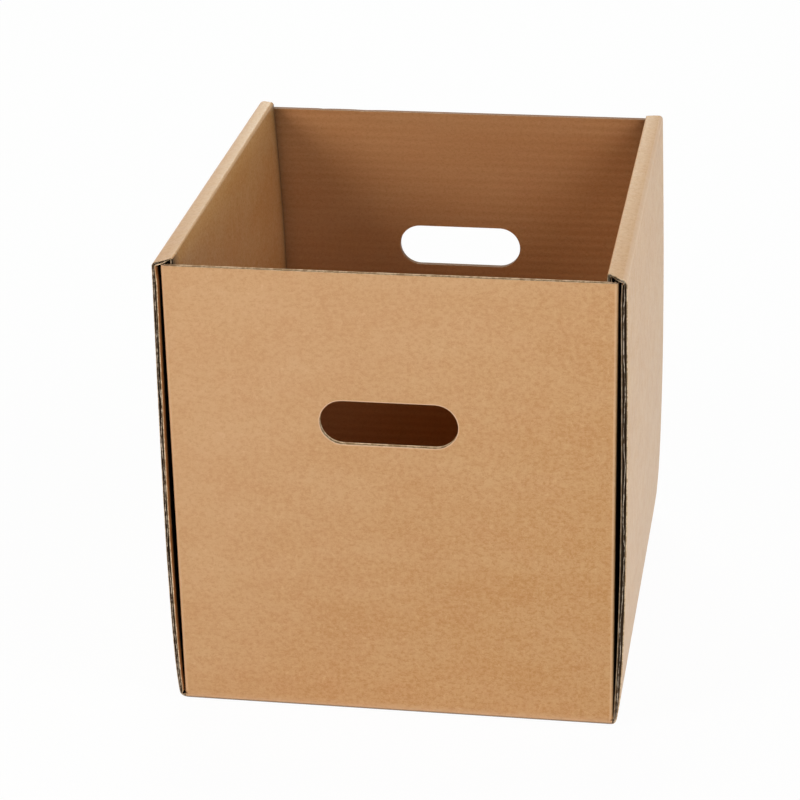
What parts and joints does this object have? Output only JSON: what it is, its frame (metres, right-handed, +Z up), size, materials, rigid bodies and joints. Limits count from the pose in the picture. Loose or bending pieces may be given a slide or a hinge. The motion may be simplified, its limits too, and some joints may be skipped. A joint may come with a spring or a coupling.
{
  "type": "open-top corrugated box",
  "caption": "Open-top box folded from corrugated kraft board, with roll-over double side walls locked into the floor and a round-ended hand hole in the front and back walls.",
  "frame": {"origin": "middle of the floor's underside", "axes": "+Z up, +X to the right along the front wall, +Y from the front wall to the back wall"},
  "size_m": [0.3232, 0.349, 0.3387],
  "materials": {
    "kraft_board": "matte brown kraft liner"
  },
  "bodies": {
    "root": {"folded_box": "kraft_board"}
  },
  "joints": []
}
